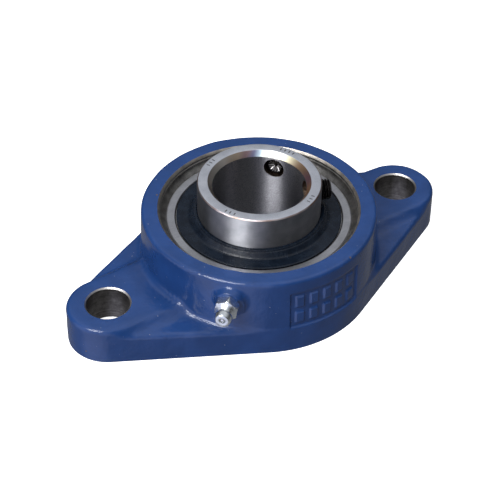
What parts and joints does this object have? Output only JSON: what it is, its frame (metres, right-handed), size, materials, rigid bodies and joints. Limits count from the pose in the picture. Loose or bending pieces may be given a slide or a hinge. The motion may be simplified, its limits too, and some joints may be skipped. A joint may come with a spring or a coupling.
{
  "type": "flange mount bearing",
  "caption": "Two-bolt oval flange bearing unit: cast housing, self-aligning ball bearing insert locked by set screws, and a side grease nipple.",
  "frame": {"origin": "centre of the bearing bore in the plane of the mounting face", "axes": "+Z along the shaft away from the mounting face towards the set screws; +X along the line of the two bolt holes; +Y across it"},
  "size_m": [0.161, 0.09, 0.0444],
  "materials": {
    "housing_enamel": "glossy enamel on cast iron",
    "ring_steel": "ground",
    "plated_steel": "zinc plated",
    "ball_steel": "polished",
    "black_steel": "black oxide",
    "seal_rubber": "matt",
    "flinger_coating": "satin"
  },
  "bodies": {
    "housing": {"housing": "housing_enamel", "grease_nipple_body": "plated_steel", "grease_nipple_spring": "ball_steel"},
    "outer_ring": {"outer_ring": "ring_steel", "seal_core_top": "plated_steel", "seal_rubber_top": "seal_rubber", "seal_core_bottom": "plated_steel", "seal_rubber_bottom": "seal_rubber"},
    "inner_ring": {"inner_ring": "ring_steel", "flinger_top": "flinger_coating", "flinger_bottom": "flinger_coating"},
    "cage": {"cage_upper_half": "plated_steel", "cage_lower_half": "plated_steel", "cage_rivets": "plated_steel"},
    "ball_1": {"ball_1": "ball_steel"},
    "ball_2": {"ball_2": "ball_steel"},
    "ball_3": {"ball_3": "ball_steel"},
    "ball_4": {"ball_4": "ball_steel"},
    "ball_5": {"ball_5": "ball_steel"},
    "ball_6": {"ball_6": "ball_steel"},
    "ball_7": {"ball_7": "ball_steel"},
    "ball_8": {"ball_8": "ball_steel"},
    "ball_9": {"ball_9": "ball_steel"},
    "set_screw_1": {"set_screw_1": "black_steel"},
    "set_screw_2": {"set_screw_2": "black_steel"},
    "check_ball": {"grease_nipple_ball": "ball_steel"}
  },
  "joints": [
    {"name": "insert_tilt", "type": "hinge", "parent": "housing", "child": "outer_ring", "pos_m": [0, 0, 0.019], "axis": [1, 0, 0], "range_deg": [-2, 2]},
    {"name": "shaft_spin", "type": "hinge", "parent": "outer_ring", "child": "inner_ring", "pos_m": [0, 0, 0.019], "axis": [0, 0, 1], "continuous": true},
    {"name": "cage_spin", "type": "hinge", "parent": "outer_ring", "child": "cage", "pos_m": [0, 0, 0.019], "axis": [0, 0, 1], "continuous": true},
    {"name": "ball_1_spin", "type": "hinge", "parent": "cage", "child": "ball_1", "pos_m": [0.02675, 0, 0.019], "axis": [0, 0, 1], "continuous": true},
    {"name": "ball_2_spin", "type": "hinge", "parent": "cage", "child": "ball_2", "pos_m": [0.02049, 0.01719, 0.019], "axis": [0, 0, 1], "continuous": true},
    {"name": "ball_3_spin", "type": "hinge", "parent": "cage", "child": "ball_3", "pos_m": [0.00465, 0.02634, 0.019], "axis": [0, 0, 1], "continuous": true},
    {"name": "ball_4_spin", "type": "hinge", "parent": "cage", "child": "ball_4", "pos_m": [-0.01337, 0.02317, 0.019], "axis": [0, 0, 1], "continuous": true},
    {"name": "ball_5_spin", "type": "hinge", "parent": "cage", "child": "ball_5", "pos_m": [-0.02514, 0.00915, 0.019], "axis": [0, 0, 1], "continuous": true},
    {"name": "ball_6_spin", "type": "hinge", "parent": "cage", "child": "ball_6", "pos_m": [-0.02514, -0.00915, 0.019], "axis": [0, 0, 1], "continuous": true},
    {"name": "ball_7_spin", "type": "hinge", "parent": "cage", "child": "ball_7", "pos_m": [-0.01337, -0.02317, 0.019], "axis": [0, 0, 1], "continuous": true},
    {"name": "ball_8_spin", "type": "hinge", "parent": "cage", "child": "ball_8", "pos_m": [0.00465, -0.02634, 0.019], "axis": [0, 0, 1], "continuous": true},
    {"name": "ball_9_spin", "type": "hinge", "parent": "cage", "child": "ball_9", "pos_m": [0.02049, -0.01719, 0.019], "axis": [0, 0, 1], "continuous": true},
    {"name": "set_screw_1_travel", "type": "slide", "parent": "inner_ring", "child": "set_screw_1", "axis": [0.7826, 0.6225, 0], "range_m": [-0.0013, 0.002]},
    {"name": "set_screw_2_travel", "type": "slide", "parent": "inner_ring", "child": "set_screw_2", "axis": [0.9171, -0.3987, 0], "range_m": [-0.0013, 0.002]},
    {"name": "check_ball_travel", "type": "slide", "parent": "housing", "child": "check_ball", "axis": [-0.7193, -0.6947, 0], "range_m": [-0.0006, 0], "stiffness_N_per_m": 150, "springref_m": 0.0004, "deforming": ["grease_nipple_spring"]}
  ],
  "couplings": [
    {"joint": "cage_spin", "follows": "shaft_spin", "ratio": 0.39615},
    {"joint": "ball_1_spin", "follows": "shaft_spin", "ratio": -2.3035},
    {"joint": "ball_2_spin", "follows": "shaft_spin", "ratio": -2.3035},
    {"joint": "ball_3_spin", "follows": "shaft_spin", "ratio": -2.3035},
    {"joint": "ball_4_spin", "follows": "shaft_spin", "ratio": -2.3035},
    {"joint": "ball_5_spin", "follows": "shaft_spin", "ratio": -2.3035},
    {"joint": "ball_6_spin", "follows": "shaft_spin", "ratio": -2.3035},
    {"joint": "ball_7_spin", "follows": "shaft_spin", "ratio": -2.3035},
    {"joint": "ball_8_spin", "follows": "shaft_spin", "ratio": -2.3035},
    {"joint": "ball_9_spin", "follows": "shaft_spin", "ratio": -2.3035}
  ]
}
